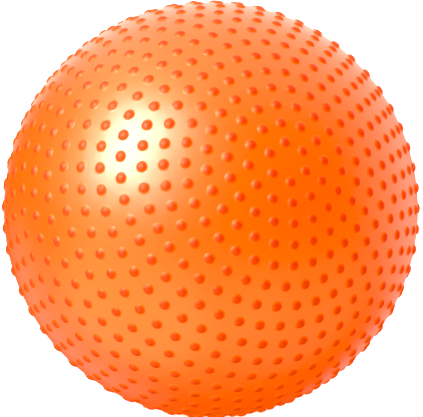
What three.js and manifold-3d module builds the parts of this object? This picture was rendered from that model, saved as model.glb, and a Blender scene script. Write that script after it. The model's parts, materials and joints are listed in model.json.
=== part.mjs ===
// Gym ball with massage nubs: a hollow inflated skin covered in rings of nubs, a valve seat fused into
// the skin, and the plug that is pushed into the seat to keep the air in.
// Millimetres, +Z up, origin at the ball's centre. The rings run round a pole that faces the front (-Y)
// and is tipped up a little. The valve is at the opposite pole, at the back.

import * as THREE from 'three';
import { ConvexHull } from 'three/addons/math/ConvexHull.js';
import { mergeVertices } from 'three/addons/utils/BufferGeometryUtils.js';
import Module from 'manifold-3d';

const wasm = await Module();
wasm.setup();

// The ball, in millimetres
const BALL_DIAMETER = 650;        // over the tips of the nubs
const WALL = 1.2;                 // the skin between the nubs, at its thinnest
const POLE_TIP = 19.5;            // degrees that the front pole is raised above the horizontal

// The nubs: solid domes moulded with the skin, in rings about the poles
const NUB_HEIGHT = 3.5;
const NUB_WIDTH = 22;             // across the foot, with the soft fillet that runs out into the skin
const RINGS_PER_HALF = 15;        // the parting line of the mould lies between the two widest rings
const WIDEST_RING = 58.4;         // nubs round the parting line, before rounding to whole nubs
const COUNT_SPREAD = 1.05;        // how much sooner than the rings themselves the counts level off
const CROWDING = 3;               // degrees by which the rings half way up are drawn to their pole
const START_MERIDIAN = 30.8;      // degrees round the pole to the line where every ring starts

// The valve seat: a stepped bush that is pushed into a thick collar of the skin from inside
const SEAT_FACE_DIAMETER = 32;    // the round face that shows from outside
const SEAT_FACE_DEPTH = 2;        // from the face down to the shoulder
const SHOULDER_WIDTH = 3;         // how far the shoulder stands out under the collar's lip
const SHOULDER_DEPTH = 2;
const COLLAR_WIDTH = 5;           // skin left round the shoulder
const COLLAR_DEPTH = 6;
const BOSS_DIAMETER = 18;         // the tube that grips the plug's stem
const BOSS_LENGTH = 22;

// The plug
const HEAD_DIAMETER = 20;
const HEAD_THICKNESS = 2.4;
const HEAD_SINK = 0.4;            // how far the head lies below the seat's face
const HEAD_CHAMFER = 0.5;         // round the top of the head
const NAIL_UNDERCUT = 1.2;        // round the bottom of the head, for a fingernail
const STEM_DIAMETER = 8;
const STEM_TIP_DIAMETER = 6.6;
const STEM_LENGTH = 28;
const STEM_BORE_DIAMETER = 4;     // the hollow that lets the stem give, open at its tip
const STEM_ROOF = 3;              // solid plastic over the end of that hollow
const RIB_DIAMETER = 9;
const RIB_WIDTH = 1.8;
const RIB_PITCH = 4.5;
const RIB_COUNT = 4;

const FIT_GAP = 0.3;              // left between pieces that are pushed or fused together
const ROUND_SIDES = 24;           // sides of the valve's round pieces
const INSIDE_DETAIL = 4;          // how often each side of the hidden inner sphere is split

// Sizes that follow from those above
const skinRadius = BALL_DIAMETER / 2 - NUB_HEIGHT;
const seatRadius = SEAT_FACE_DIAMETER / 2;
const shoulderRadius = seatRadius + SHOULDER_WIDTH;
const faceLevel = Math.sqrt(skinRadius ** 2 - seatRadius ** 2);
const recessRadius = HEAD_DIAMETER / 2 + FIT_GAP;
const recessDepth = HEAD_SINK + HEAD_THICKNESS + FIT_GAP;
const boreRadius = RIB_DIAMETER / 2 + FIT_GAP;
const radians = THREE.MathUtils.degToRad;

const skinPvc = new THREE.MeshStandardMaterial({ color: 0xff6a08, roughness: 0.32, metalness: 0.1 });
const seatPvc = new THREE.MeshStandardMaterial({ color: 0xf25f06, roughness: 0.4, metalness: 0.05 });
const plugPlastic = new THREE.MeshStandardMaterial({ color: 0xf3f1ea, roughness: 0.45, metalness: 0 });

// One closed solid for joining and cutting, from any three.js geometry
function solidFrom(geometry) {
  const bare = new THREE.BufferGeometry();
  bare.setAttribute('position', geometry.getAttribute('position'));
  bare.setIndex(geometry.getIndex());
  const welded = mergeVertices(bare, 1e-5);
  const corners = welded.getIndex().array;
  const triangles = [];
  for (let i = 0; i < corners.length; i += 3) {
    const [a, b, c] = corners.slice(i, i + 3);
    if (a !== b && b !== c && c !== a) triangles.push(a, b, c);
  }
  return new wasm.Manifold(new wasm.Mesh({
    numProp: 3,
    vertProperties: new Float32Array(welded.getAttribute('position').array),
    triVerts: new Uint32Array(triangles),
  }));
}

// A three.js geometry with flat facets, from a joined or cut solid
function geometryFrom(solid) {
  const { vertProperties, triVerts } = solid.getMesh();
  const geometry = new THREE.BufferGeometry();
  geometry.setAttribute('position', new THREE.BufferAttribute(new Float32Array(vertProperties), 3));
  geometry.setIndex(new THREE.BufferAttribute(new Uint32Array(triVerts), 1));
  return geometry;
}

// A turned piece about +Z, from [radius, height] points that run anticlockwise round its half section
function turned(points) {
  const profile = points.map(([radius, height]) => new THREE.Vector2(radius, height));
  return new THREE.LatheGeometry(profile, ROUND_SIDES).rotateX(Math.PI / 2);
}

// The direction of every nub. The second half of the mould is the first one turned over.
function nubDirections() {
  const directions = [];
  const evenStep = 180 / (2 * RINGS_PER_HALF + 1);
  for (let ring = 1; ring <= RINGS_PER_HALF; ring++) {
    const even = radians(ring * evenStep);
    const polar = even - radians(CROWDING) * Math.sin(2 * even);
    const count = Math.round(WIDEST_RING * Math.sin(COUNT_SPREAD * even));
    for (let i = 0; i < count; i++) {
      const turn = radians(START_MERIDIAN + (360 * i) / count);
      const outward = new THREE.Vector3(Math.cos(turn), Math.sin(turn), 0).multiplyScalar(Math.sin(polar));
      outward.z = Math.cos(polar);
      directions.push(outward, outward.clone().negate());
    }
  }
  return directions;
}

// The four corners of a nub's foot, on the skin and anticlockwise from outside
function footCorners(outward) {
  const along = new THREE.Vector3(0, 0, 1).cross(outward).normalize();
  const across = outward.clone().cross(along);
  const spread = Math.asin(NUB_WIDTH / 2 / skinRadius);
  return [along, across, along.clone().negate(), across.clone().negate()].map((side) =>
    outward.clone().multiplyScalar(Math.cos(spread)).addScaledVector(side, Math.sin(spread))
      .multiplyScalar(skinRadius));
}

// The outside of the skin: the convex hull of all the feet, with a nub in place of each foot's own facets
function nubbedSphere() {
  const nubOf = new Map();
  const nubs = nubDirections().map((outward, nub) => {
    const corners = footCorners(outward);
    corners.forEach((corner) => nubOf.set(corner, nub));
    return { corners, tip: outward.clone().multiplyScalar(skinRadius + NUB_HEIGHT) };
  });
  const poles = [new THREE.Vector3(0, 0, skinRadius), new THREE.Vector3(0, 0, -skinRadius)];
  poles.forEach((pole, i) => nubOf.set(pole, -1 - i));

  const positions = [];
  const hull = new ConvexHull().setFromPoints([...nubOf.keys()]);
  for (const face of hull.faces) {
    const corners = [face.getEdge(0), face.getEdge(1), face.getEdge(2)].map((edge) => edge.head().point);
    const underOneNub = corners.every((corner) => nubOf.get(corner) === nubOf.get(corners[0]));
    if (!underOneNub) corners.forEach((corner) => positions.push(...corner));
  }
  for (const { corners, tip } of nubs) {
    corners.forEach((corner, i) => positions.push(...corner, ...corners[(i + 1) % corners.length], ...tip));
  }
  const geometry = new THREE.BufferGeometry();
  geometry.setAttribute('position', new THREE.Float32BufferAttribute(positions, 3));
  return geometry;
}

// The thick ring of skin that holds the valve seat, as a full disc before the seat's hole is cut
function collarDisc() {
  const radius = shoulderRadius + COLLAR_WIDTH;
  const midWall = skinRadius - WALL / 2;
  const arcSteps = 4;
  const points = [[0, faceLevel - COLLAR_DEPTH], [radius, faceLevel - COLLAR_DEPTH]];
  for (let i = arcSteps; i >= 0; i--) {
    const r = (radius * i) / arcSteps;
    points.push([r, Math.sqrt(midWall ** 2 - r ** 2)]);
  }
  return turned(points);
}

// The stepped hole that the valve seat is pushed into, from inside up to the collar's lip
function seatHole() {
  const lip = faceLevel - SEAT_FACE_DEPTH + FIT_GAP;
  return turned([
    [0, faceLevel - 2 * COLLAR_DEPTH],
    [shoulderRadius + FIT_GAP, faceLevel - 2 * COLLAR_DEPTH],
    [shoulderRadius + FIT_GAP, lip],
    [seatRadius + FIT_GAP, lip],
    [seatRadius + FIT_GAP, faceLevel + COLLAR_DEPTH],
    [0, faceLevel + COLLAR_DEPTH],
  ]);
}

function ballSkin() {
  const backwards = new THREE.Matrix4().makeRotationX(Math.PI);
  const inside = solidFrom(new THREE.IcosahedronGeometry(skinRadius - WALL, INSIDE_DETAIL));
  const collar = solidFrom(collarDisc().applyMatrix4(backwards));
  const hole = solidFrom(seatHole().applyMatrix4(backwards));
  const skin = solidFrom(nubbedSphere()).subtract(inside).add(collar).subtract(hole);
  const mesh = new THREE.Mesh(geometryFrom(skin), skinPvc);
  mesh.name = 'ball_skin';
  return mesh;
}

// The seat and the plug are turned about +Z, which points out of the ball, with the seat's face at 0
function valveSeat() {
  const underside = -SEAT_FACE_DEPTH - SHOULDER_DEPTH;
  const geometry = turned([
    [boreRadius, underside - BOSS_LENGTH],
    [BOSS_DIAMETER / 2, underside - BOSS_LENGTH],
    [BOSS_DIAMETER / 2, underside],
    [shoulderRadius, underside],
    [shoulderRadius, -SEAT_FACE_DEPTH],
    [seatRadius, -SEAT_FACE_DEPTH],
    [seatRadius, 0],
    [recessRadius, 0],
    [recessRadius, -recessDepth],
    [boreRadius, -recessDepth],
    [boreRadius, underside - BOSS_LENGTH],
  ]);
  const mesh = new THREE.Mesh(geometry, seatPvc);
  mesh.name = 'valve_seat';
  return mesh;
}

function valvePlug() {
  const headTop = -HEAD_SINK;
  const headBottom = headTop - HEAD_THICKNESS;
  const tip = headBottom - STEM_LENGTH;
  const stemRadius = (height) => THREE.MathUtils.mapLinear(
    height, tip, headBottom, STEM_TIP_DIAMETER / 2, STEM_DIAMETER / 2);
  const points = [
    [0, headBottom - STEM_ROOF],
    [STEM_BORE_DIAMETER / 2, headBottom - STEM_ROOF],
    [STEM_BORE_DIAMETER / 2, tip],
    [STEM_TIP_DIAMETER / 2, tip],
  ];
  for (let rib = RIB_COUNT; rib >= 1; rib--) {
    const middle = headBottom - rib * RIB_PITCH;
    const [foot, crown, top] = [middle - RIB_WIDTH / 2, middle, middle + RIB_WIDTH / 2];
    points.push([stemRadius(foot), foot], [RIB_DIAMETER / 2, crown], [stemRadius(top), top]);
  }
  points.push(
    [STEM_DIAMETER / 2, headBottom],
    [HEAD_DIAMETER / 2 - NAIL_UNDERCUT, headBottom],
    [HEAD_DIAMETER / 2, headBottom + NAIL_UNDERCUT],
    [HEAD_DIAMETER / 2, headTop - HEAD_CHAMFER],
    [HEAD_DIAMETER / 2 - HEAD_CHAMFER, headTop],
    [0, headTop],
  );
  const mesh = new THREE.Mesh(turned(points), plugPlastic);
  mesh.name = 'valve_plug';
  return mesh;
}

const valve = new THREE.Group();
valve.rotation.x = Math.PI;
valve.position.z = -faceLevel;
valve.add(valveSeat(), valvePlug());

const ball = new THREE.Group();
ball.rotation.x = radians(90 - POLE_TIP);
ball.add(ballSkin(), valve);

const gymBall = new THREE.Group();
gymBall.add(ball);

export default gymBall;
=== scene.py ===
# %% [markdown]
# # A gym ball with massage nubs
#
# The real ball is one hollow moulding of soft, pearly PVC. Rings of round nubs cover it from a bare
# pole at the front to another at the back, where a valve seat and a push-in plug close it.
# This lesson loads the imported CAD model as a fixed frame, then models the three pieces again with
# Blender's own tools, gives them their finishes, and lights them as in the photograph.

# %% Load the frame
import json
import math
import bpy
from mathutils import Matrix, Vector
from mathutils.kdtree import KDTree


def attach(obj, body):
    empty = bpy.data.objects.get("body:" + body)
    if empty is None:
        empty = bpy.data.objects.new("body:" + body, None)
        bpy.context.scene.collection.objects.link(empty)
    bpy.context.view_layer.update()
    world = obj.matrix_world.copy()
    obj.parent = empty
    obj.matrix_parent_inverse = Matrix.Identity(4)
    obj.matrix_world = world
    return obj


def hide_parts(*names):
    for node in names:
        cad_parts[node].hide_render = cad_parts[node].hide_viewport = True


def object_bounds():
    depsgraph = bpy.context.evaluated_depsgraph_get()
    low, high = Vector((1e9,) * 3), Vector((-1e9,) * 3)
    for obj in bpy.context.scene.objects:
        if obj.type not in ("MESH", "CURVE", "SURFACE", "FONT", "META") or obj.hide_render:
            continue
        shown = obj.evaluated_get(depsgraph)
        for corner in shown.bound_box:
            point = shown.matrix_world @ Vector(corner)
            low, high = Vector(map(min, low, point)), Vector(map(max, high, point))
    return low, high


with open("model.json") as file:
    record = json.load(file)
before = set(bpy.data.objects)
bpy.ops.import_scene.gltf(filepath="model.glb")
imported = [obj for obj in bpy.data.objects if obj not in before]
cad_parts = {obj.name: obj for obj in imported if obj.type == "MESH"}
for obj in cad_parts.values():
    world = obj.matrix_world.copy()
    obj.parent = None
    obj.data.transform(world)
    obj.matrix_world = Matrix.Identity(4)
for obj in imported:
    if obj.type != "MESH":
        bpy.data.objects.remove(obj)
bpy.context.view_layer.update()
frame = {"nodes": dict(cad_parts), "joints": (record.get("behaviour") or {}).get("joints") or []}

# %% [markdown]
# ## What the frame tells
#
# The plug pulls straight out along the valve's axis, so that axis is also the ball's: the bare pole
# of the nub rings is at its other end. The CAD skin touches its own outer size at the nubs' tips.
# Both are read from the frame, so the new pieces sit where the CAD pieces are.

# %% Read the ball's axis and size
valve_way = Vector(frame["joints"][0]["axis"]).normalized()
pole_way = -valve_way
tip_radius = max(corner.co.length for corner in frame["nodes"]["ball_skin"].data.vertices)
NUB_HEIGHT = 0.0035
SKIN = tip_radius - NUB_HEIGHT
print("pole", [round(part, 4) for part in pole_way], "tip", round(tip_radius, 4), "skin", round(SKIN, 4))

# %% [markdown]
# ## The camera
#
# The photograph was taken from a little above the ball's middle. Its long lens shows almost a whole
# half of the ball, so the camera stands ten skin radii away. The lens then follows from how wide the
# ball's skin is in the picture. A small shift puts the ball a pixel off the middle, as it is there.

# %% Stand the camera where the photograph was taken
IMAGE_WIDTH = 423
BALL_PIXELS = 414.5
SHIFT_PIXELS = (0.6, 0.9)
CAMERA_TURN = math.radians(21.2)
CAMERA_RISE = math.radians(8)
CAMERA_DISTANCE = 10 * SKIN
to_camera = Vector((
    -math.sin(CAMERA_TURN) * math.cos(CAMERA_RISE),
    -math.cos(CAMERA_TURN) * math.cos(CAMERA_RISE),
    math.sin(CAMERA_RISE),
))
bpy.ops.object.camera_add(location=to_camera * CAMERA_DISTANCE)
camera = bpy.context.object
camera.name = "photo_camera"
camera.rotation_euler = (-to_camera).to_track_quat("-Z", "Y").to_euler()
focal_pixels = BALL_PIXELS / 2 / math.tan(math.asin(SKIN / CAMERA_DISTANCE))
camera.data.lens = focal_pixels * camera.data.sensor_width / IMAGE_WIDTH
camera.data.shift_x = SHIFT_PIXELS[0] / IMAGE_WIDTH
camera.data.shift_y = SHIFT_PIXELS[1] / IMAGE_WIDTH
bpy.context.scene.camera = camera
print("lens", round(camera.data.lens, 1), "mm")

# %% [markdown]
# ## The rings of nubs
#
# On the ball the nubs stand in rings round the bare pole, like the bumps on a mould that was cut
# ring by ring. They could be scattered, but then no row would run true. Here one formula gives each
# ring its angle from the pole and its number of nubs, and the back half is the front half seen
# through the ball's centre.

# %% Work out the rings
RINGS_PER_HALF = 15
WIDEST_RING = 58.4
COUNT_SPREAD = 1.05
CROWDING = math.radians(3)
START_MERIDIAN = math.radians(30.8)

rings = []
for ring in range(1, RINGS_PER_HALF + 1):
    even = math.radians(ring * 180 / (2 * RINGS_PER_HALF + 1))
    polar = even - CROWDING * math.sin(2 * even)
    count = round(WIDEST_RING * math.sin(COUNT_SPREAD * even))
    rings.append((polar, count, START_MERIDIAN))
    rings.append((math.pi - polar, count, START_MERIDIAN + math.pi))

nub_ways = []
for polar, count, start in rings:
    for step in range(count):
        turn = start + 2 * math.pi * step / count
        across = math.sin(polar)
        nub_ways.append(Vector((across * math.cos(turn), across * math.sin(turn), math.cos(polar))))

nub_finder = KDTree(len(nub_ways))
for number, way in enumerate(nub_ways):
    nub_finder.insert(way * SKIN, number)
nub_finder.balance()
print(len(rings), "rings,", len(nub_ways), "nubs")

# %% [markdown]
# ## A net of triangles through all nubs
#
# The skin starts as plain circles, one for each ring, with a corner where each nub will stand. The
# ball is modelled with its pole straight up, which keeps the circles level, and is turned into place
# at the end. Convex Hull then stretches a net over all the corners: it joins each nub to its five,
# six or seven neighbours, which is just the pattern that the skin between the nubs needs.

# %% Lay the rings and stretch the net
TINY = 0.00001


def mode(name):
    """Changes to edit mode or to object mode."""
    bpy.ops.object.mode_set(mode=name)


def add_ring(polar, count, start):
    """One level circle with a corner where each nub of the ring will stand."""
    # Blender starts a circle on the Y axis, a quarter turn on from X.
    bpy.ops.mesh.primitive_circle_add(
        vertices=count,
        radius=SKIN * math.sin(polar),
        location=(0, 0, SKIN * math.cos(polar)),
        rotation=(0, 0, start - math.pi / 2),
    )


bpy.ops.object.select_all(action="DESELECT")
add_ring(*rings[0])
ball = bpy.context.object
ball.name = "nubbed_skin"
bpy.ops.object.transform_apply(location=True, rotation=True)
mode("EDIT")
for ring in rings[1:]:
    add_ring(*ring)
# A tiny triangle, merged into one corner, marks each bare pole.
for pole_height in (SKIN, -SKIN):
    bpy.ops.mesh.primitive_circle_add(vertices=3, radius=TINY, location=(0, 0, pole_height))
    bpy.ops.mesh.merge(type="CENTER")
bpy.ops.mesh.select_all(action="SELECT")
bpy.ops.mesh.convex_hull(join_triangles=False)
mode("OBJECT")
print("net:", len(ball.data.vertices), "corners,", len(ball.data.polygons), "triangles")

# %% [markdown]
# ## A round foot for each nub
#
# Each nub needs a round face to grow from. Bevelling a corner cuts it off and leaves a many-sided
# patch, whose small faces are dissolved into one. The cut follows the net's edges, so it isn't quite
# round yet: its corners are spread evenly on a circle round the nub's own axis, down on the skin.

# %% Helpers that select by place
def pick_corners(piece, wanted):
    """Selects the corners whose place is wanted, and stays in edit mode."""
    mode("EDIT")
    bpy.ops.mesh.select_mode(type="VERT")
    bpy.ops.mesh.select_all(action="DESELECT")
    mode("OBJECT")
    for corner in piece.data.vertices:
        corner.select = wanted(corner.co)
    mode("EDIT")


def pick_faces(piece, wanted):
    """Selects the faces that are wanted, and stays in edit mode."""
    mode("EDIT")
    bpy.ops.mesh.select_mode(type="FACE")
    bpy.ops.mesh.select_all(action="DESELECT")
    mode("OBJECT")
    for face in piece.data.polygons:
        face.select = wanted(face)
    mode("EDIT")


# %% Helper that spreads corners on a circle
def spread_evenly(piece, face, way, radius):
    """Moves a face's corners to even steps on a circle round the given way, down on the skin."""
    corners = [piece.data.vertices[number] for number in face.vertices]
    along = (corners[0].co - way * corners[0].co.dot(way)).normalized()
    across = way.cross(along)
    step = 2 * math.pi / len(corners)
    turns = [math.atan2(c.co.dot(across), c.co.dot(along)) % (2 * math.pi) for c in corners]
    # Rounding can make the first turn a full one, so it is set.
    turns[0] = 0
    slack = sum(turn - step * number for number, turn in enumerate(turns)) / len(corners)
    lean = math.asin(radius / SKIN)
    for number, corner in enumerate(corners):
        turn = slack + step * number
        rim = along * math.cos(turn) + across * math.sin(turn)
        corner.co = SKIN * (way * math.cos(lean) + rim * math.sin(lean))


# %% Helper that opens corners into round feet
# How near counts as at a point, the bevel's profile, and the share of a cut that is inside it.
AT_POINT = 0.001
CUT_PROFILE = 0.2
INSIDE_CUT = 0.9


def open_round(piece, finder, radius, segments):
    """Turns the corner at each point of the finder into one round face on the skin."""
    pick_corners(piece, lambda place: finder.find(place)[2] < AT_POINT)
    bpy.ops.mesh.bevel(
        offset=radius, segments=segments, profile=CUT_PROFILE, affect="VERTICES", clamp_overlap=False
    )
    pick_faces(piece, lambda face: finder.find(face.center)[2] < INSIDE_CUT * radius)
    bpy.ops.mesh.dissolve_faces()
    mode("OBJECT")
    opened = [face for face in piece.data.polygons if face.select]
    for face in opened:
        spread_evenly(piece, face, finder.find(face.center)[0].normalized(), radius)
    return opened


# %% Open the feet
FOOT_RADIUS = 0.0105
feet = open_round(ball, nub_finder, FOOT_RADIUS, segments=2)
foot_sides = [len(foot.vertices) for foot in feet]
print(len(feet), "feet of", min(foot_sides), "to", max(foot_sides), "sides")

# %% [markdown]
# ## The hole for the valve
#
# The back pole is opened in the same way, with finer steps. The hole is as wide as the valve seat's
# round face, with the same small gap as in the CAD, and a little more for a soft lip.

# %% Open the valve hole
SEAT_RADIUS = 0.016
FIT_GAP = 0.0003
LIP = 0.0003
HOLE_RADIUS = SEAT_RADIUS + FIT_GAP + LIP
valve_finder = KDTree(1)
valve_finder.insert(Vector((0, 0, -SKIN)), 0)
valve_finder.balance()
hole = open_round(ball, valve_finder, HOLE_RADIUS, segments=4)
print("valve hole of", len(hole[0].vertices), "sides")

# %% [markdown]
# ## The skin between the feet
#
# What is left between three feet is one many-sided face, flat in the middle. Poke gives each a
# corner in its centre, and Cast pushes everything out onto the ball, so the skin is round there too.

# %% Round off the skin
NEAR_MIDDLE = 0.5


def is_foot(face):
    return nub_finder.find(face.center)[2] < NEAR_MIDDLE * FOOT_RADIUS


def is_hole(face):
    return valve_finder.find(face.center)[2] < NEAR_MIDDLE * HOLE_RADIUS


def apply_modifier(piece, kind, **settings):
    """Adds a modifier with the given settings and applies it at once."""
    modifier = piece.modifiers.new(kind.lower(), kind)
    for name, value in settings.items():
        setattr(modifier, name, value)
    bpy.ops.object.modifier_apply(modifier=modifier.name)


pick_faces(ball, lambda face: not is_foot(face) and not is_hole(face))
bpy.ops.mesh.poke()
mode("OBJECT")
apply_modifier(ball, "CAST", cast_type="SPHERE", factor=1.0, size=SKIN, use_radius_as_size=False)
print("skin:", len(ball.data.polygons), "faces")

# %% [markdown]
# ## The nubs
#
# A nub is a low dome, about five times as wide as it is high. All feet are selected at once, and Inset
# is used again and again: each time it makes the face smaller and lifts it, so the steps trace the
# dome's outline. The first step isn't lifted. It leaves a flat ring that keeps the skin level round
# the nub, so the gloss beside it stays smooth. Poke closes the top. A few steps are enough, because
# smooth shading does the rest.

# %% Grow the nubs
# Each point is a radius and a height above the skin.
NUB_OUTLINE = (
    (FOOT_RADIUS, 0.0),
    (0.0089, 0.0),
    (0.0080, 0.0004),
    (0.0063, 0.0019),
    (0.0037, 0.0031),
)
# Inset measures to a face's sides, but the outline gives radii to its corners.
USUAL_SIDES = 12
FLAT_TO_CORNER = math.cos(math.pi / USUAL_SIDES)

pick_faces(ball, is_foot)
for (outer, low), (inner, high) in zip(NUB_OUTLINE, NUB_OUTLINE[1:]):
    bpy.ops.mesh.inset(
        thickness=(outer - inner) * FLAT_TO_CORNER, depth=high - low, use_individual=True
    )
bpy.ops.mesh.poke(offset=NUB_HEIGHT - NUB_OUTLINE[-1][1])
mode("OBJECT")
print("nubs stand", round(max(c.co.length for c in ball.data.vertices) - SKIN, 5), "m above the skin")

# %% [markdown]
# ## The collar round the valve
#
# Round the valve the skin is thicker: a collar with a step inside, which the seat's shoulder is
# pushed up against. The hole's face is inset for the lip, then extruded inwards step by step, each
# time moved and widened to the next point of the collar's outline, as on a lathe.

# %% Push the collar in
WALL = 0.0012
FACE_DEPTH = 0.002
SHOULDER_RADIUS = 0.019
COLLAR_RADIUS = 0.024
COLLAR_DEPTH = 0.006
# The seat's flat face lies where its edge meets the skin.
FACE_LEVEL = math.sqrt(SKIN ** 2 - SEAT_RADIUS ** 2)


def lathe_step(now, then):
    """Extrudes the selected round from one (radius, height) to the next."""
    bpy.ops.mesh.extrude_region_move(TRANSFORM_OT_translate={"value": (0, 0, then[1] - now[1])})
    size = then[0] / now[0]
    bpy.ops.transform.resize(value=(size, size, 1), center_override=(0, 0, then[1]))


pick_faces(ball, is_hole)
bpy.ops.mesh.inset(thickness=LIP, depth=-LIP)
step_level = FACE_DEPTH - FIT_GAP - FACE_LEVEL
collar_outline = (
    (HOLE_RADIUS - LIP, LIP - math.sqrt(SKIN ** 2 - HOLE_RADIUS ** 2)),
    (HOLE_RADIUS - LIP, step_level),
    (SHOULDER_RADIUS + FIT_GAP, step_level),
    (SHOULDER_RADIUS + FIT_GAP, COLLAR_DEPTH - FACE_LEVEL),
    (COLLAR_RADIUS, COLLAR_DEPTH - FACE_LEVEL),
)
for now, then in zip(collar_outline, collar_outline[1:]):
    lathe_step(now, then)
bpy.ops.mesh.delete(type="FACE")
mode("OBJECT")
print("collar added:", len(ball.data.polygons), "faces")

# %% [markdown]
# ## The air inside
#
# The space in the ball is sealed air. A second, plainer ball just inside the skin is turned inside
# out and loses its lowest corner. Bridge joins that opening to the collar's, so the skin and its
# lining are one closed shell, with a wall as thin as the real one.

# %% Line the ball
LINING_SIDES = 24
LINING_RINGS = 40

mode("EDIT")
bpy.ops.mesh.primitive_uv_sphere_add(
    segments=LINING_SIDES, ring_count=LINING_RINGS, radius=SKIN - WALL
)
bpy.ops.mesh.flip_normals()
lining_pole = Vector((0, 0, WALL - SKIN))
pick_corners(ball, lambda place: (place - lining_pole).length < AT_POINT)
bpy.ops.mesh.delete(type="VERT")
bpy.ops.mesh.select_mode(type="EDGE")
bpy.ops.mesh.select_all(action="DESELECT")
bpy.ops.mesh.select_non_manifold()
bpy.ops.mesh.bridge_edge_loops()
mode("OBJECT")
print("skin with lining:", len(ball.data.vertices), "corners,", len(ball.data.polygons), "faces")

# %% [markdown]
# ## Into place
#
# The pole is tipped from straight up to where the frame says, and the turn is applied so that the
# object itself sits unturned at the origin. The skin then rides with the CAD ball and stands for it.

# %% Turn the skin and hang it on the frame
SKIN_CREASE = math.radians(60)


def settle(piece, way, lift=0.0):
    """Turns a piece from straight up to the given way, lifts it along it, and applies both."""
    bpy.ops.object.select_all(action="DESELECT")
    piece.select_set(True)
    bpy.context.view_layer.objects.active = piece
    piece.rotation_euler = Vector((0, 0, 1)).rotation_difference(way).to_euler()
    piece.location = way * lift
    bpy.ops.object.transform_apply(location=True, rotation=True, scale=True)


settle(ball, pole_way)
bpy.ops.object.shade_smooth_by_angle(angle=SKIN_CREASE)
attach(ball, "ball")
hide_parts("ball_skin")
print("skin reaches", round(max(c.co.length for c in ball.data.vertices), 4), "m")

# %% [markdown]
# ## The pearly orange finish
#
# Soft PVC with pearl in it has a strong orange of its own, a wide warm glow where light strikes it,
# and a clear gloss on top that turns pale near the edge. The nubs are coloured a deeper, darker red
# than the skin, so the colour changes with the distance from the ball's centre. One map for this
# could be painted by hand, but the distance gives every nub the same soft edge. It is measured in
# Object coordinates, so it stays put from every side.

# %% Helpers that build a finish
def new_finish(name):
    """A new material and its main shader."""
    finish = bpy.data.materials.new(name)
    finish.use_nodes = True
    return finish, finish.node_tree.nodes["Principled BSDF"]


def add_node(finish, kind, **settings):
    node = finish.node_tree.nodes.new("ShaderNode" + kind)
    for name, value in settings.items():
        setattr(node, name, value)
    return node


def join(finish, source, target):
    finish.node_tree.links.new(source, target)


def add_range(finish, source, low, high, new_low=0, new_high=1):
    """Maps low to new_low and high to new_high, with a soft start and end."""
    span = add_node(finish, "MapRange", interpolation_type="SMOOTHSTEP")
    names = ("From Min", "From Max", "To Min", "To Max")
    for name, value in zip(names, (low, high, new_low, new_high)):
        span.inputs[name].default_value = value
    join(finish, source, span.inputs["Value"])
    return span.outputs["Result"]


# %% Helpers for patterns
def add_noise(finish, place, scale, detail):
    noise = add_node(finish, "TexNoise")
    noise.inputs["Scale"].default_value = scale
    noise.inputs["Detail"].default_value = detail
    join(finish, place, noise.inputs["Vector"])
    return noise.outputs["Fac"]


def add_mix(finish, amount, first, second):
    """Mixes two colours by an amount. Each is a colour or another node's output."""
    # A Mix node keeps its colours in inputs 6 and 7 and in output 2.
    mix = add_node(finish, "Mix", data_type="RGBA")
    join(finish, amount, mix.inputs[0])
    for socket, colour in ((mix.inputs[6], first), (mix.inputs[7], second)):
        if isinstance(colour, tuple):
            socket.default_value = colour
        else:
            join(finish, colour, socket)
    return mix.outputs[2]


def add_bump(finish, height, strength, depth, before=None):
    """Bends the light as a fine relief would, on top of the relief before it."""
    bump = add_node(finish, "Bump")
    bump.inputs["Strength"].default_value = strength
    bump.inputs["Distance"].default_value = depth
    join(finish, height, bump.inputs["Height"])
    if before:
        join(finish, before, bump.inputs["Normal"])
    return bump.outputs["Normal"]


# %% Mix the skin's material
SKIN_ORANGE = (0.97, 0.106, 0.0010, 1)
SKIN_DEEP = (0.95, 0.098, 0.0009, 1)
NUB_RED = (0.58, 0.031, 0.003, 1)
# Heights above the skin between which the red comes in.
RED_FROM = 0.00005
RED_FULL = 0.0027

pearl, shader = new_finish("pearl_orange_pvc")
place = add_node(pearl, "TexCoord").outputs["Object"]
outwards = add_node(pearl, "VectorMath", operation="LENGTH")
join(pearl, place, outwards.inputs[0])
from_centre = outwards.outputs["Value"]
on_nub = add_range(pearl, from_centre, SKIN + RED_FROM, SKIN + RED_FULL)
cloud = add_range(pearl, add_noise(pearl, place, scale=6, detail=3), low=0.35, high=0.65)
skin_colour = add_mix(pearl, cloud, SKIN_ORANGE, SKIN_DEEP)
colour = add_mix(pearl, on_nub, skin_colour, NUB_RED)
join(pearl, colour, shader.inputs["Base Color"])
print("skin finish has", len(pearl.node_tree.nodes), "nodes so far")

# %% [markdown]
# The gloss isn't even. Fine pearl flakes make the warm glow glitter a little. A touch of metal and a
# yellow tint in the shader stand for the pearl, and the clear coat on top of it stays white. Hands
# and floors rub the nubs, so most of the coat ends at each nub's foot and the nub itself is matt. The
# skin also has a faint grain, and a thin line runs round the ball where the halves of the mould met.

# %% Add the flake and the rubbed nubs
# Heights above the skin between which the coat goes.
COAT_UNTIL = 0.00002
COAT_GONE = 0.0003
NUB_COAT = 0.06
NUB_ROUGHNESS = 0.60
PEARL_TINT = (1.0, 0.68, 0.33, 1)

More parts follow.
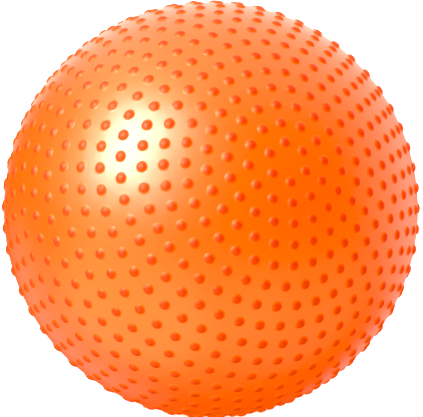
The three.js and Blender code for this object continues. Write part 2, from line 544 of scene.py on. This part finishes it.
flake = add_noise(pearl, place, scale=900, detail=1)
glitter = add_range(pearl, flake, low=0.3, high=0.7, new_low=0.48, new_high=0.58)
dulled = add_range(pearl, from_centre, SKIN + COAT_UNTIL, SKIN + COAT_GONE)
matt = add_node(pearl, "Mix", data_type="FLOAT")
matt.inputs["B"].default_value = NUB_ROUGHNESS
join(pearl, dulled, matt.inputs["Factor"])
join(pearl, glitter, matt.inputs["A"])
join(pearl, matt.outputs["Result"], shader.inputs["Roughness"])
coat = add_range(pearl, dulled, low=0, high=1, new_low=1, new_high=NUB_COAT)
join(pearl, coat, shader.inputs["Coat Weight"])
shader.inputs["Metallic"].default_value = 0.1
shader.inputs["IOR"].default_value = 1.75
shader.inputs["Specular Tint"].default_value = PEARL_TINT
shader.inputs["Coat Roughness"].default_value = 0.30
shader.inputs["Coat IOR"].default_value = 1.5
print("skin finish has", len(pearl.node_tree.nodes), "nodes with its gloss")

# %% Add the grain and the mould line
# Distances from the mould line's middle between which its ridge runs out.
LINE_CORE = 0.0003
LINE_EDGE = 0.0008

grain = add_bump(pearl, add_noise(pearl, place, scale=350, detail=2), strength=0.06, depth=0.0004)
along_axis = add_node(pearl, "VectorMath", operation="DOT_PRODUCT")
along_axis.inputs[1].default_value = pole_way
join(pearl, place, along_axis.inputs[0])
off_line = add_node(pearl, "Math", operation="ABSOLUTE")
join(pearl, along_axis.outputs["Value"], off_line.inputs[0])
mould_line = add_range(pearl, off_line.outputs[0], LINE_CORE, LINE_EDGE, new_low=1, new_high=0)
relief = add_bump(pearl, mould_line, strength=0.5, depth=0.0003, before=grain)
join(pearl, relief, shader.inputs["Normal"])
ball.data.materials.append(pearl)
print("skin finish has", len(pearl.node_tree.nodes), "nodes in all")

# %% [markdown]
# ## The valve seat
#
# The seat is a turned bush: a round face with a groove and a recess for the plug's head, a shoulder
# under the skin's collar, and a boss with the bore. It could be spun from its outline. Here it goes
# up the same steps as the collar, from one circle, because each point can then be read as a size.

# %% Helper that turns a whole piece
ROUND_SIDES = 48
SAME_PLACE = 0.000001


def turn_piece(name, outline):
    """Extrudes a circle along an outline of (radius, height) points, and closes what is open."""
    bpy.ops.object.select_all(action="DESELECT")
    radius, height = outline[0]
    bpy.ops.mesh.primitive_circle_add(vertices=ROUND_SIDES, radius=radius, location=(0, 0, height))
    piece = bpy.context.object
    piece.name = name
    bpy.ops.object.transform_apply(location=True)
    mode("EDIT")
    for now, then in zip(outline, outline[1:]):
        lathe_step(now, then)
    bpy.ops.mesh.select_all(action="SELECT")
    bpy.ops.mesh.remove_doubles(threshold=SAME_PLACE)
    bpy.ops.mesh.fill_holes(sides=0)
    bpy.ops.mesh.select_all(action="SELECT")
    bpy.ops.mesh.normals_make_consistent(inside=False)
    mode("OBJECT")
    return piece


# %% Turn the seat
SHOULDER_DEPTH = 0.002
BOSS_RADIUS = 0.009
BOSS_LENGTH = 0.022
HEAD_RADIUS = 0.010
HEAD_THICKNESS = 0.0024
HEAD_SINK = 0.0004
RIB_RADIUS = 0.0045
GROOVE_RADIUS = 0.0134
GROOVE_WIDTH = 0.0016
GROOVE_FLOOR_WIDTH = 0.0006
GROOVE_DEPTH = 0.0005
BORE_RADIUS = RIB_RADIUS + FIT_GAP
RECESS_RADIUS = HEAD_RADIUS + FIT_GAP
recess_level = -HEAD_SINK - HEAD_THICKNESS - FIT_GAP
shoulder_level = -FACE_DEPTH - SHOULDER_DEPTH
boss_level = shoulder_level - BOSS_LENGTH

seat = turn_piece("valve_bush", (
    (RECESS_RADIUS, 0),
    (GROOVE_RADIUS - GROOVE_WIDTH / 2, 0),
    (GROOVE_RADIUS - GROOVE_FLOOR_WIDTH / 2, -GROOVE_DEPTH),
    (GROOVE_RADIUS + GROOVE_FLOOR_WIDTH / 2, -GROOVE_DEPTH),
    (GROOVE_RADIUS + GROOVE_WIDTH / 2, 0),
    (SEAT_RADIUS, 0),
    (SEAT_RADIUS, -FACE_DEPTH),
    (SHOULDER_RADIUS, -FACE_DEPTH),
    (SHOULDER_RADIUS, shoulder_level),
    (BOSS_RADIUS, shoulder_level),
    (BOSS_RADIUS, boss_level),
    (BORE_RADIUS, boss_level),
    (BORE_RADIUS, recess_level),
    (RECESS_RADIUS, recess_level),
    (RECESS_RADIUS, 0),
))
print("seat:", len(seat.data.polygons), "faces before its edges are rounded")

# %% Round the seat's edges and hang it on the frame
TURNED_CREASE = math.radians(40)
EDGE_ANGLE = math.radians(30)


def soften(piece, width):
    """Rounds a turned piece's sharp edges."""
    apply_modifier(
        piece, "BEVEL", width=width, segments=2, limit_method="ANGLE", angle_limit=EDGE_ANGLE
    )


soften(seat, width=0.0002)
settle(seat, valve_way, FACE_LEVEL)
bpy.ops.object.shade_smooth_by_angle(angle=TURNED_CREASE)
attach(seat, "ball")
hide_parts("valve_seat")
print("seat:", len(seat.data.polygons), "faces")

# %% [markdown]
# The seat is moulded from the same PVC without the pearl, so it is a plainer, duller orange. Plugs and
# pump nozzles have rubbed it here and there, so a noise makes both its colour and its gloss patchy.

# %% Mix the seat's material
SEAT_ORANGE = (0.80, 0.115, 0.006, 1)
SEAT_WORN = (0.86, 0.150, 0.014, 1)

dull, shader = new_finish("dull_orange_pvc")
place = add_node(dull, "TexCoord").outputs["Object"]
worn = add_range(dull, add_noise(dull, place, scale=160, detail=4), low=0.4, high=0.7)
join(dull, add_mix(dull, worn, SEAT_ORANGE, SEAT_WORN), shader.inputs["Base Color"])
roughness = add_range(dull, worn, low=0, high=1, new_low=0.52, new_high=0.40)
join(dull, roughness, shader.inputs["Roughness"])
relief = add_bump(dull, add_noise(dull, place, scale=900, detail=2), strength=0.15, depth=0.0002)
join(dull, relief, shader.inputs["Normal"])
shader.inputs["Coat Weight"].default_value = 0.15
shader.inputs["Coat Roughness"].default_value = 0.35
seat.data.materials.append(dull)
print("seat finish has", len(dull.node_tree.nodes), "nodes")

# %% [markdown]
# ## The plug
#
# The plug is pushed in by its head, which has a shallow dish for the thumb and an undercut rim for a
# fingernail. Ribs round its hollow stem grip the bore. Its outline is turned in the same way, ribs
# and all: from the dish over the rim, down the stem and back up inside it.

# %% Choose the plug's sizes
HEAD_CHAMFER = 0.0005
NAIL_UNDERCUT = 0.0012
DISH_RADIUS = 0.0068
DISH_KNEE_RADIUS = 0.0062
DISH_FLOOR_RADIUS = 0.0052
DISH_DEPTH = 0.0005
DISH_KNEE_SHARE = 0.7
STEM_RADIUS = 0.004
STEM_TIP_RADIUS = 0.0033
STEM_LENGTH = 0.028
STEM_BORE_RADIUS = 0.002
STEM_ROOF = 0.003
RIB_WIDTH = 0.0018
RIB_PITCH = 0.0045
RIB_COUNT = 4
head_top = -HEAD_SINK
head_base = head_top - HEAD_THICKNESS
stem_tip = head_base - STEM_LENGTH
print("plug is", round(head_top - stem_tip, 4), "m long")

# %% Trace the plug's outline
def stem_radius(height):
    """The stem narrows evenly down to its tip."""
    share = (height - stem_tip) / STEM_LENGTH
    return STEM_TIP_RADIUS + share * (STEM_RADIUS - STEM_TIP_RADIUS)


plug_outline = [
    (DISH_FLOOR_RADIUS, head_top - DISH_DEPTH),
    (DISH_KNEE_RADIUS, head_top - DISH_KNEE_SHARE * DISH_DEPTH),
    (DISH_RADIUS, head_top),
    (HEAD_RADIUS - HEAD_CHAMFER, head_top),
    (HEAD_RADIUS, head_top - HEAD_CHAMFER),
    (HEAD_RADIUS, head_base + NAIL_UNDERCUT),
    (HEAD_RADIUS - NAIL_UNDERCUT, head_base),
    (STEM_RADIUS, head_base),
]
for rib in range(1, RIB_COUNT + 1):
    crown = head_base - rib * RIB_PITCH
    for height in (crown + RIB_WIDTH / 2, crown, crown - RIB_WIDTH / 2):
        radius = RIB_RADIUS if height == crown else stem_radius(height)
        plug_outline.append((radius, height))
plug_outline += [
    (STEM_TIP_RADIUS, stem_tip),
    (STEM_BORE_RADIUS, stem_tip),
    (STEM_BORE_RADIUS, head_base - STEM_ROOF),
]
print("plug's outline has", len(plug_outline), "points")

# %% Turn the plug and hang it on the frame
plug = turn_piece("push_in_plug", plug_outline)
soften(plug, width=0.00015)
settle(plug, valve_way, FACE_LEVEL)
bpy.ops.object.shade_smooth_by_angle(angle=TURNED_CREASE)
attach(plug, "plug")
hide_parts("valve_plug")
print("plug:", len(plug.data.polygons), "faces")

# %% [markdown]
# The plug is plain white plastic from a mould with a fine spark-eroded face. It yellows a little in
# patches, and its gloss is uneven where fingers have rubbed it.

# %% Mix the plug's material
PLUG_WHITE = (0.62, 0.61, 0.58, 1)
PLUG_YELLOWED = (0.58, 0.55, 0.47, 1)

white, shader = new_finish("satin_white_plastic")
place = add_node(white, "TexCoord").outputs["Object"]
aged = add_range(white, add_noise(white, place, scale=120, detail=3), low=0.45, high=0.75)
join(white, add_mix(white, aged, PLUG_WHITE, PLUG_YELLOWED), shader.inputs["Base Color"])
rubbed = add_noise(white, place, scale=260, detail=2)
roughness = add_range(white, rubbed, low=0.35, high=0.65, new_low=0.36, new_high=0.52)
join(white, roughness, shader.inputs["Roughness"])
relief = add_bump(white, add_noise(white, place, scale=2200, detail=1), strength=0.12, depth=0.0001)
join(white, relief, shader.inputs["Normal"])
shader.inputs["Subsurface Weight"].default_value = 0.08
shader.inputs["Subsurface Radius"].default_value = (0.002, 0.002, 0.0015)
plug.data.materials.append(white)
print("plug finish has", len(white.node_tree.nodes), "nodes")

# %% [markdown]
# ## Floor
#
# The photograph has a plain white ground without a shadow, like a product on a lit sheet of paper. A
# wide pale floor reaches past the top of the picture, so no edge of it shows. It has a lamp of its
# own that lights nothing else. The ball neither mirrors this floor nor is shaded by it, because what
# the ball mirrors is painted further down.

# %% Lay the floor
FLOOR_SIZE = 120
FLOOR_WHITE = (0.9, 0.9, 0.9, 1)

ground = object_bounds()[0].z
bpy.ops.mesh.primitive_plane_add(size=FLOOR_SIZE, location=(0, 0, ground))
floor = bpy.context.object
floor.name = "studio_floor"
pale, shader = new_finish("pale_floor_paint")
place = add_node(pale, "TexCoord").outputs["Object"]
patchy = add_noise(pale, place, scale=3, detail=2)
roughness = add_range(pale, patchy, low=0, high=1, new_low=0.62, new_high=0.7)
join(pale, roughness, shader.inputs["Roughness"])
shader.inputs["Base Color"].default_value = FLOOR_WHITE
shader.inputs["Specular IOR Level"].default_value = 0.2
floor.data.materials.append(pale)
floor.visible_glossy = False
floor.visible_diffuse = False
floor.visible_shadow = False
print("floor at", round(ground, 4))

# %% Light the floor
FLOOR_LIGHT = 2.8
FLOOR_LAMP_HEIGHT = 5

bpy.ops.object.light_add(type="SUN", location=(0, 0, FLOOR_LAMP_HEIGHT))
floor_lamp = bpy.context.object
floor_lamp.name = "floor_lamp"
floor_lamp.data.energy = FLOOR_LIGHT
floor_lamp.data.use_shadow = False
only_floor = bpy.data.collections.new("only_the_floor")
only_floor.objects.link(floor)
floor_lamp.light_linking.receiver_collection = only_floor

# %% [markdown]
# ## Softboxes
#
# A pearl finish shows two things at once: a gloss that mirrors the lamps, and a colour below it that
# looks alike from all sides. They are lit apart here. For the gloss, a lamp is placed by what the ball
# mirrors: where a patch of light lies on the ball, the lamp stands in the direction that the view
# bounces off to from there. A small bright box makes the hot spot and a wide one makes its soft halo.
# A third box lights only the colour, on the same side of the ball.

# %% Hang the softboxes
to_right = Vector((0, 0, 1)).cross(to_camera).normalized()
to_top = to_camera.cross(to_right)


def seen_from_ball(right, up, back):
    """The way from the ball that goes right, up and back to the camera by the given amounts."""
    return (to_right * right + to_top * up + to_camera * back).normalized()


def softbox(name, way, distance, width, height, power):
    """A soft lamp that stands in the given way from the ball and faces it."""
    place = seen_from_ball(*way) * distance
    bpy.ops.object.light_add(type="AREA", location=place)
    lamp = bpy.context.object
    lamp.name = name
    lamp.data.shape = "RECTANGLE"
    lamp.data.size = width
    lamp.data.size_y = height
    lamp.data.energy = power
    lamp.data.cycles.use_multiple_importance_sampling = False
    lamp.rotation_euler = (-place).to_track_quat("-Z", "Y").to_euler()
    print(name, "at", [round(along, 2) for along in place])
    return lamp


key_lamp = softbox(
    "key_lamp", (-0.63, 0.495, 0.60), distance=2.6, width=1.2, height=1.55, power=116
)
key_lamp.visible_diffuse = False
halo_softbox = softbox(
    "halo_softbox", (-0.60, 0.475, 0.64), distance=2.7, width=2.5, height=2.7, power=86
)
halo_softbox.visible_diffuse = False
fill_softbox = softbox(
    "fill_softbox", (-0.75, 0.40, 0.53), distance=2.8, width=2.0, height=2.0, power=40
)
fill_softbox.visible_glossy = False

# %% [markdown]
# The rest of the colour is lit by two round lamps that are far larger than the ball. One has the ball
# inside it, like a light tent, so its light comes evenly from all round. The other hangs just above
# the ball, like an overcast sky, and makes the top brighter than the underside.

# %% Put up the light tent and the sky
LAMP_RADIUS = 90
SKY_HEIGHT = 0.5


def round_lamp(name, height, brightness):
    """A huge even lamp for the colour only, with its middle at the given height."""
    bpy.ops.object.light_add(type="POINT", location=(0, 0, height))
    lamp = bpy.context.object
    lamp.name = name
    lamp.data.shadow_soft_size = LAMP_RADIUS
    lamp.data.use_soft_falloff = False
    # A lamp's power is its brightness times pi times its surface.
    lamp.data.energy = brightness * math.pi * (4 * math.pi * LAMP_RADIUS ** 2)
    lamp.data.cycles.use_multiple_importance_sampling = False
    lamp.visible_glossy = False
    lamp.visible_camera = False


round_lamp("light_tent", height=0, brightness=0.96)
round_lamp("pale_sky", height=LAMP_RADIUS + SKY_HEIGHT, brightness=0.90)

# %% [markdown]
# ## Room
#
# The gloss also mirrors the room. Behind the ball there is a bright ceiling, a bright wall to the
# right and one far behind, with paler corners below, and they give the pale rim. Where two of them
# meet, only the brighter one shows. The floor is mirrored as warm patches in the lower half, and those
# add up. It is dark behind the camera, which leaves the ball's middle a deep orange. The world is
# painted in that way, by the direction that a ray leaves in.

# %% Choose where the room is bright
def add_glow(world, way, narrow, wide, strength):
    """A bright patch of the room in the given way from the ball.

    Wide and narrow are cosines of the angles from that way where it starts and where it is full.
    """
    ray = add_node(world, "TexCoord").outputs["Generated"]
    nearness = add_node(world, "VectorMath", operation="DOT_PRODUCT")
    nearness.inputs[1].default_value = seen_from_ball(*way)
    join(world, ray, nearness.inputs[0])
    return add_range(world, nearness.outputs["Value"], wide, narrow, new_high=strength)


room = bpy.data.worlds.new("soft_room")
room.use_nodes = True
room.cycles_visibility.diffuse = False
ceiling = add_glow(room, (0.11, 0.93, -0.36), narrow=0.82, wide=0.49, strength=1.06)
right_wall = add_glow(room, (0.82, 0.22, -0.52), narrow=0.97, wide=0.72, strength=1.0)
far_wall = add_glow(room, (-0.03, 0.36, -0.93), narrow=0.95, wide=0.88, strength=1.3)
left_corner = add_glow(room, (-0.62, -0.50, -0.60), narrow=0.96, wide=0.84, strength=0.55)
right_corner = add_glow(room, (0.40, -0.22, -0.89), narrow=0.99, wide=0.95, strength=0.6)
left_floor = add_glow(room, (-0.61, -0.72, 0.30), narrow=0.91, wide=0.70, strength=2.5)
front_floor = add_glow(room, (0.08, -0.78, 0.61), narrow=0.96, wide=0.79, strength=1.3)
right_floor = add_glow(room, (0.63, -0.75, 0.18), narrow=0.95, wide=0.73, strength=1.35)
under_floor = add_glow(room, (-0.03, -0.98, -0.16), narrow=0.98, wide=0.88, strength=0.4)
walls = (ceiling, right_wall, far_wall, left_corner, right_corner)
floors = (left_floor, front_floor, right_floor, under_floor)
print("room has", len(walls) + len(floors), "glows")

# %% Paint the room
WALL_WHITE = (1, 1, 1, 1)
FLOOR_GLOW = (1.0, 0.80, 0.45, 1)
BOUNCED_ORANGE = (0.50, 0.08, 0.01, 1)


def add_light(world, glows, colour, overlap):
    """One background with the given glows in one colour. Overlap says how two of them are joined."""
    light = add_node(world, "Background")
    light.inputs["Color"].default_value = colour
    brightness = glows[0]
    for glow in glows[1:]:
        both = add_node(world, "Math", operation=overlap)
        join(world, brightness, both.inputs[0])
        join(world, glow, both.inputs[1])
        brightness = both.outputs[0]
    join(world, brightness, light.inputs["Strength"])
    return light


walls_light = add_light(room, walls, WALL_WHITE, overlap="MAXIMUM")
floor_light = add_light(room, floors, FLOOR_GLOW, overlap="ADD")
bounced_light = add_node(room, "Background")
bounced_light.inputs["Color"].default_value = BOUNCED_ORANGE
mirrored = walls_light.outputs[0]
for light in (floor_light, bounced_light):
    both = add_node(room, "AddShader")
    join(room, mirrored, both.inputs[0])
    join(room, light.outputs[0], both.inputs[1])
    mirrored = both.outputs[0]
print("room has", len(room.node_tree.nodes), "nodes")

# %% [markdown]
# The camera itself sees plain white where it looks past the floor. The picture is developed without a
# film curve, because the photograph's orange is as strong as the screen can show it, and its darkest
# tones are drawn down a little.

# %% Hang the white backdrop
BACKDROP_LIGHT = 1.2

backdrop = room.node_tree.nodes["Background"]
backdrop.inputs["Color"].default_value = WALL_WHITE
backdrop.inputs["Strength"].default_value = BACKDROP_LIGHT
seen = add_node(room, "MixShader")
join(room, add_node(room, "LightPath").outputs["Is Camera Ray"], seen.inputs[0])
join(room, mirrored, seen.inputs[1])
join(room, backdrop.outputs[0], seen.inputs[2])
join(room, seen.outputs[0], room.node_tree.nodes["World Output"].inputs["Surface"])
bpy.context.scene.world = room
print("world is", bpy.context.scene.world.name)

# %% Develop the picture
BLACK_LEVEL = 0.020

developing = bpy.context.scene.view_settings
developing.view_transform = "Standard"
developing.use_curve_mapping = True
developing.curve_mapping.black_level = (BLACK_LEVEL, BLACK_LEVEL, BLACK_LEVEL)
developing.curve_mapping.update()
print("developed with", developing.view_transform)
